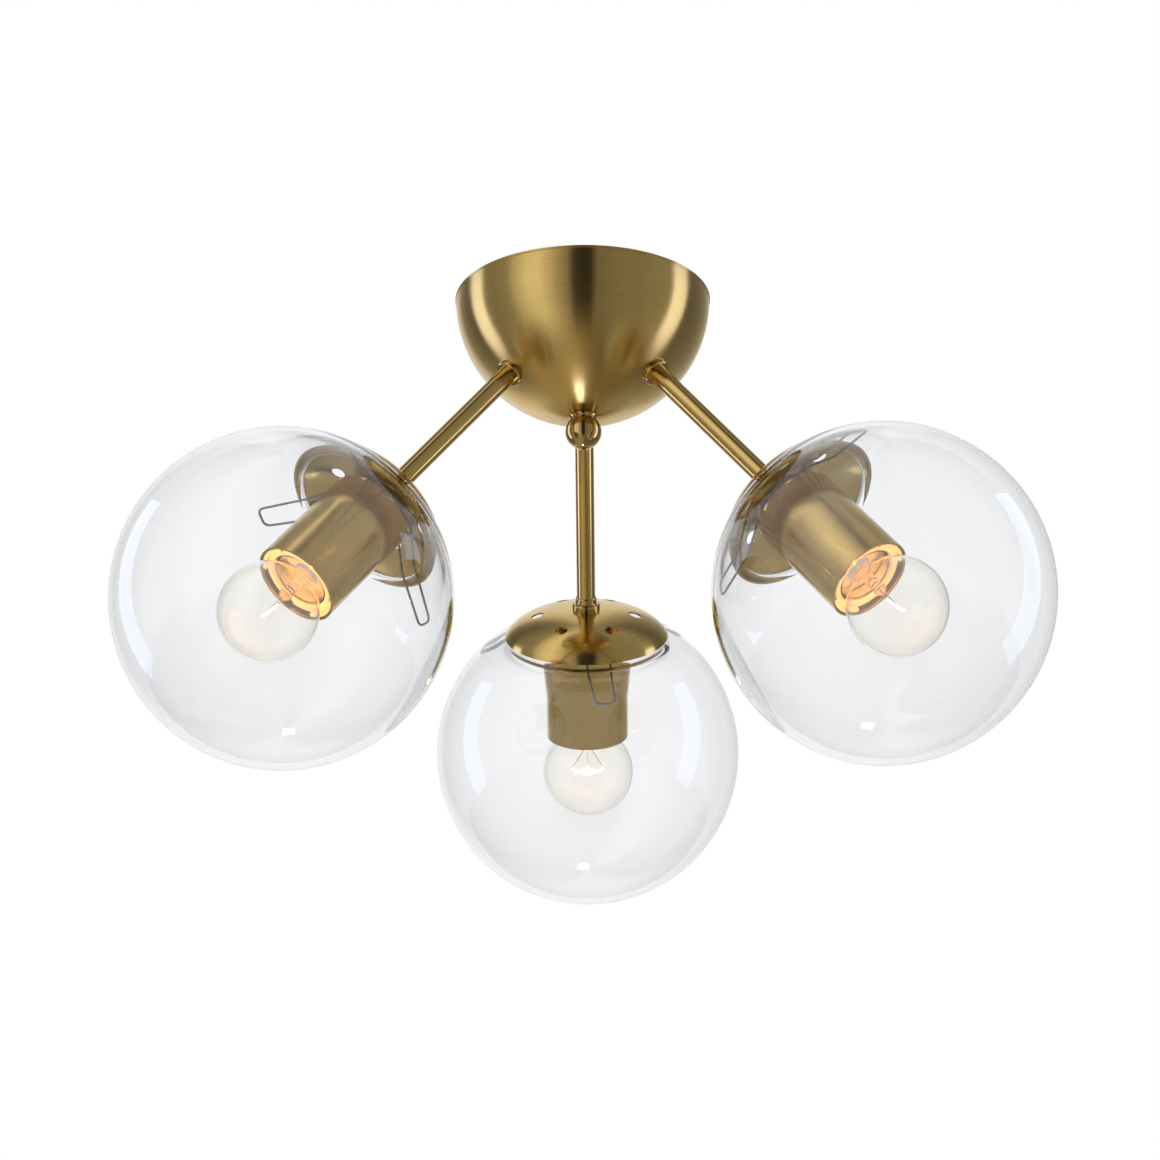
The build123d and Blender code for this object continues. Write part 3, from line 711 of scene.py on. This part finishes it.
globe_outside = ball_and_shoulder(GLOBE_R, **OUTER_SHOULDER)
globe_inside = ball_and_shoulder(GLOBE_R - GLOBE_WALL, **INNER_SHOULDER)
lip_top, lip_under = globe_outside[-1], globe_inside[-1]
lip_middle = ((lip_top[0] + lip_under[0]) / 2, (lip_top[1] + lip_under[1]) / 2)
lip_r = math.dist(lip_top, lip_under) / 2
lip_start = math.degrees(math.atan2(lip_top[1] - lip_middle[1], lip_top[0] - lip_middle[0]))
lip = arc(lip_middle, lip_r, lip_start, lip_start - 180, LIP_STEPS)[1:-1]
globe = turned_glass("globe_blown", globe_outside + lip + globe_inside[::-1])
print("the lip is", round(2 * lip_r, 2), "mm thick")
on_every_arm(globe, globe_glass, "shade_{}", "globe")

# %% The bulbs
BULB_R, BULB_WALL, BULB_MID = 22.5, 0.7, 242.3
BULB_NECK_R, BULB_BEND, NECK_END = 12.4, 10.0, 212.0
BULB_STEPS, BEND_STEPS = 36, 6


def bulb_side(ball_r, neck_r, bend_r):
    """The ball, the hollow bend into the neck, and the neck's end."""
    reach = ball_r + bend_r
    bend = (neck_r + bend_r, BULB_MID - math.sqrt(reach**2 - (neck_r + bend_r) ** 2))
    leave_angle = math.degrees(math.atan2(bend[1] - BULB_MID, bend[0]))
    ball = arc((0, BULB_MID), ball_r, 90, leave_angle, BULB_STEPS)
    return ball + arc(bend, bend_r, leave_angle + 180, 180, BEND_STEPS)[1:] + [(neck_r, NECK_END)]


bulb_outside = bulb_side(BULB_R, BULB_NECK_R, BULB_BEND)
bulb_inside = bulb_side(BULB_R - BULB_WALL, BULB_NECK_R - BULB_WALL, BULB_BEND + BULB_WALL)
bulb = turned_glass("bulb_blown", bulb_outside + bulb_inside[::-1])
on_every_arm(bulb, bulb_glass, "bulb_{}", "bulb_glass")

# %% [markdown]
# ## Threads
# The bulb's cap and the shell that takes it are thin sheet with a round thread rolled into both. One round of
# the wave is drawn, wound up with the thread's pitch of 3.63 mm, and trimmed. The bulb's wave stays inside
# the shell's, so the two never touch. The rod that carries the canopy has a plain M6 thread, which is a
# zigzag with a pitch of 1 mm.

# %% Rolled threads on the bulb caps and the holders' shells
LAMP_PITCH, WAVE_STEPS, SHEET_ROUND = 3.63, 8, 48
SHELL_R, SHELL_WAVE, SHELL_LOW, SHELL_HIGH, SHELL_SHEET = 13.42, 0.26, 195.0, 219.4, 0.2
CAP_R, CAP_WAVE, CAP_LOW, CAP_HIGH, CAP_SHEET = 12.6, 0.38, 201.0, 215.6, 0.25
SLEEVE = ((12.5, 215.4), (12.85, 216.0), (12.85, 219.2), (12.98, 219.8))
CONE = ((8.0, 197.4), (11.6, 198.7), (12.4, 200.0), (12.5, 201.2))


def rolled_thread(name, middle, depth, start, rounds):
    """A thread wound from one round of its wave, which is drawn from start upwards."""
    turns = [2 * math.pi * i / WAVE_STEPS for i in range(WAVE_STEPS + 1)]
    wave = [(middle + depth * math.cos(a), start + LAMP_PITCH * i / WAVE_STEPS) for i, a in enumerate(turns)]
    return wind(outline(name, *wave), LAMP_PITCH, rounds, SHEET_ROUND)


shell_thread = rolled_thread("screw_shell", SHELL_R, SHELL_WAVE, 191.0, 9)
thicken(trim(shell_thread, SHELL_LOW, SHELL_HIGH), -SHELL_SHEET)
on_every_arm(smooth(shell_thread), nickel, "canopy", "screw_shell")

cap_thread = trim(rolled_thread("bulb_cap", CAP_R, CAP_WAVE, 198.0, 6), CAP_LOW, CAP_HIGH)
sleeve = turned("bulb_sleeve", SHEET_ROUND, *SLEEVE)
cone = turned("bulb_cone", SHEET_ROUND, *CONE)
bulb_cap = thicken(joined("bulb_cap", [cap_thread, sleeve, cone]), CAP_SHEET)
on_every_arm(smooth(bulb_cap), nickel, "bulb_{}", "bulb_base")

# %% The rod's thread
ROD_LOW, ROD_HIGH = -69.0, -1.5
ROD_PITCH, ROD_ROUNDS, ROD_ROUND = 1.0, 71, 24
ROD_ZIGZAG = ((2.6, -71.0), (3.0, -70.5), (2.6, -70.0))

rod = wind(outline("rod_thread", *ROD_ZIGZAG), ROD_PITCH, ROD_ROUNDS, ROD_ROUND)
trim(rod, ROD_LOW, ROD_HIGH, close=True)
smooth(rod, 25)
paint(zinc, rod)
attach(rod, "ceiling")
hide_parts("threaded_rod")
print("the rod's thread has", len(rod.data.polygons), "faces")

# %% [markdown]
# ## The lit filaments
# Each bulb is on. Its filament is a fine coil in two runs, from one stout wire up to a hook in the middle and
# down to the other. A coil is wound like a thread: a tiny ring is carried round Z and climbs. The wire glows
# almost white, and a small warm lamp at the same place lights the holder's mouth orange. The cap is fixed to
# the glass with cream cement, which shows through the neck.

# %% The coil
COIL_R, COIL_WIRE_R, COIL_RISE = 0.38, 0.09, 0.30
COIL_END, COIL_PEAK = (8.0, 241.0), (0.0, 244.0)
COIL_SIDES, COIL_ROUND = 5, 10
FILAMENT_COLOUR, FILAMENT_DIM, FILAMENT_HOT = (1.0, 0.8, 0.5), (1.0, 0.66, 0.34), (1.0, 0.78, 0.46)
FILAMENT_GLOW = 22.0


def ring_points(centre, radius, count):
    """A small closed ring of points beside Z."""
    turns = [2 * math.pi * i / count for i in range(count + 1)]
    return [(centre + radius * math.cos(a), radius * math.sin(a)) for a in turns]


def between_points(start, end):
    """Matrix that stands an upright piece on start, in millimetres, and points it at end."""
    start, end = Vector((start[0], 0, start[1])) * MM, Vector((end[0], 0, end[1])) * MM
    return Matrix.Translation(start) @ (end - start).to_track_quat("Z", "Y").to_matrix().to_4x4()


run_length = math.dist(COIL_END, COIL_PEAK)
coils = []
for side in (-1, 1):
    coil = outline("coil", *ring_points(COIL_R, COIL_WIRE_R, COIL_SIDES))
    wind(coil, COIL_RISE, int(run_length / COIL_RISE), COIL_ROUND)
    coils.append(lay(coil, between_points((side * COIL_END[0], COIL_END[1]), COIL_PEAK)))
glow = Recipe("lit_filament", FILAMENT_COLOUR, 0.5)
glow.join(glow.dab(glow.noise(glow.place(), 260.0), FILAMENT_DIM, FILAMENT_HOT), "Emission Color")
glow.set("Emission Strength", FILAMENT_GLOW)
on_every_arm(joined("filament", coils), glow.material, "bulb_{}", "bulb_filament")

# %% Its posts and the cement
POST_FOOT, POST_TOP, POST_R = (1.4, 230.0), (8.0, 241.2), 0.22
HOOK_FOOT, HOOK_TOP, HOOK_R = (0.0, 231.0), (0.0, 244.3), 0.12
POST_ROUND, POST_EDGE, ON_AXIS = 12, 0.4, 0.001
CEMENT_COLOUR, CEMENT_DARK, CEMENT_LIGHT = (0.86, 0.74, 0.52), (0.78, 0.64, 0.42), (0.90, 0.80, 0.60)
CEMENT_ROUND = 64
CEMENT_RING = (
    (12.42, 219.0), (12.55, 219.0), (12.55, 212.2), (0.4, 212.2), (0.4, 212.6), (12.42, 212.6),
    (12.42, 219.0),
)


def straight_wire(start, end, radius):
    """A round wire from start to end, with its edges taken off."""
    length, edge = math.dist(start, end), radius * POST_EDGE
    side = ((radius, edge), (radius, length - edge))
    profile = ((ON_AXIS, 0), (radius - edge, 0), *side, (radius - edge, length), (ON_AXIS, length))
    return lay(turned("wire", POST_ROUND, *profile), between_points(start, end))


posts = [straight_wire((side * POST_FOOT[0], POST_FOOT[1]), (side * POST_TOP[0], POST_TOP[1]), POST_R)
         for side in (-1, 1)]
posts.append(straight_wire(HOOK_FOOT, HOOK_TOP, HOOK_R))
on_every_arm(joined("filament_posts", posts), nickel, "bulb_{}")

cement = Recipe("bulb_cement", CEMENT_COLOUR, 0.7)
cement_grain = cement.noise(cement.place(), 1200.0, 3.0)
cement.join(cement.dab(cement_grain, CEMENT_DARK, CEMENT_LIGHT), "Base Color")
cement.bump(cement_grain, 0.3, 0.0001)
cement_ring = smooth(turned("cement", CEMENT_ROUND, *CEMENT_RING))
on_every_arm(cement_ring, cement.material, "bulb_{}")

# %% The light inside each bulb
LAMP_AT, LAMP_SIZE, LAMP_WATTS = 0.236, 0.004, 0.06
LAMP_COLOUR = (1.0, 0.42, 0.09)
foot = moulded("bulb_foot", (0.05, 0.045, 0.045), 0.3)
for arm in ARMS:
    finish_nodes(foot, f"bulb_contact_{arm}")
    lamp = bpy.data.lights.new(f"bulb_lamp_{arm}", "POINT")
    lamp.energy = LAMP_WATTS
    lamp.color = LAMP_COLOUR
    lamp.shadow_soft_size = LAMP_SIZE
    lit = bpy.data.objects.new(lamp.name, lamp)
    scene.collection.objects.link(lit)
    lit.parent = frame["bodies"][f"bulb_{arm}"]
    lit.location = arm_axis(arm) * LAMP_AT
    lit.visible_transmission = lit.visible_glossy = False
    print(lamp.name, "hangs at", [round(x, 3) for x in lit.location])

# %% [markdown]
# ## The leads
# The leads run from the connector block down the arms. They are soft, and when the canopy is lowered they
# stretch between the bracket and the arms. Here each is one smooth curve from the block to its arm, on no
# body. A spline through a few control points gives the easy bends of a stiff little wire.

# %% Brown and blue leads to the arms
PORT_Y, PORT_Z = -15.0, -14.0
LEAD_R, LEAD_APART = 1.0, 1.4
LEAD_IN_ARM = (39.0, 50.0, 187.0)
LIVE_ROUTES = {
    "left": [(-11.3, -9.5, PORT_Z), (-14.5, -10, -21)],
    "right": [(-6.7, -8, PORT_Z), (0, -5, -20), (11, -4.5, -23)],
    "back": [(-9, -4, PORT_Z), (-7.5, 9, -20)],
}
NEUTRAL_ROUTES = {
    "left": [(6.7, -9.8, PORT_Z), (3, -8, -26), (-10, -6.5, -28)],
    "right": [(11.3, -9.5, PORT_Z), (14.5, -10, -21)],
    "back": [(9, -4, PORT_Z), (7.5, 9, -20)],
}


def lead_piece(name, routes, radius, material):
    """Round wires along smooth splines, as one mesh."""
    curve = bpy.data.curves.new(name, "CURVE")
    curve.dimensions = "3D"
    curve.resolution_u = 8
    curve.bevel_depth = radius * MM
    curve.bevel_resolution = 3
    curve.use_fill_caps = True
    for route in routes:
        spline = curve.splines.new("NURBS")
        spline.points.add(len(route) - 1)
        for point, place in zip(spline.points, route):
            point.co = (*[v * MM for v in place], 1)
        spline.order_u = 3
        spline.use_endpoint_u = True
    piece = bpy.data.objects.new(name, curve)
    scene.collection.objects.link(piece)
    pick(piece)
    bpy.ops.object.convert(target="MESH")
    piece = bpy.context.object
    paint(material, piece)
    print(name, "has", len(piece.data.polygons), "faces")
    return smooth(piece, 60)


def to_arm(arm, apart, bends):
    """A lead's control points: out of its port, round its bends, and straight down the arm."""
    ends = [tuple(arm_matrix(arm) @ Vector((apart, 0, s))) for s in LEAD_IN_ARM]
    return [(bends[0][0], PORT_Y, PORT_Z), *bends, *ends]


for name, routes, apart, material, slot in (
    ("live_leads", LIVE_ROUTES, LEAD_APART, brown, "lead_brown"),
    ("neutral_leads", NEUTRAL_ROUTES, -LEAD_APART, blue, "lead_blue"),
):
    all_routes = [to_arm(arm, apart, bends) for arm, bends in routes.items()]
    piece = lead_piece(name + "_soft", all_routes, LEAD_R, material)
    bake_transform(piece)
    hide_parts(name)

# %% The earth lead
EARTH_ROUTE = [(0, PORT_Y, PORT_Z), (0, -10.4, PORT_Z), (8, -5.5, -10.9), (11, 4, -10.9), (7.2, 18, -10.9)]
earth = lead_piece("earth_lead_soft", [EARTH_ROUTE], LEAD_R, striped_lead())
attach(earth, "ceiling")
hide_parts("earth_lead")

# %% Its ring lug
LUG_Y, LUG_LOW, LUG_HIGH = 18.0, -10.3, -9.5
EYE_INNER, EYE_OUTER, EYE_ROUND = 2.0, 4.0, 32
TONGUE_X, TONGUE_SIZE, TONGUE_BEVEL = 5.5, (4.4, 2.8, 0.8), 0.2

eye = turned("lug_ring", EYE_ROUND, (EYE_INNER, LUG_LOW), (EYE_OUTER, LUG_LOW), (EYE_OUTER, LUG_HIGH),
             (EYE_INNER, LUG_HIGH), (EYE_INNER, LUG_LOW))
lay(eye, Matrix.Translation(Vector((0, LUG_Y, 0)) * MM))
deselect()
tongue_place = (TONGUE_X * MM, LUG_Y * MM, (LUG_LOW + LUG_HIGH) / 2 * MM)
bpy.ops.mesh.primitive_cube_add(size=MM, location=tongue_place, scale=TONGUE_SIZE)
tongue = bpy.context.object
bpy.ops.object.transform_apply(location=True, rotation=True, scale=True)
edit(True)
bpy.ops.mesh.bevel(offset=TONGUE_BEVEL * MM, segments=2)
edit(False)
lug = smooth(joined("ring_lug", [eye, tongue]))
paint(bright, lug)
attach(lug, "ceiling")
print("the lug has", len(lug.data.polygons), "faces")
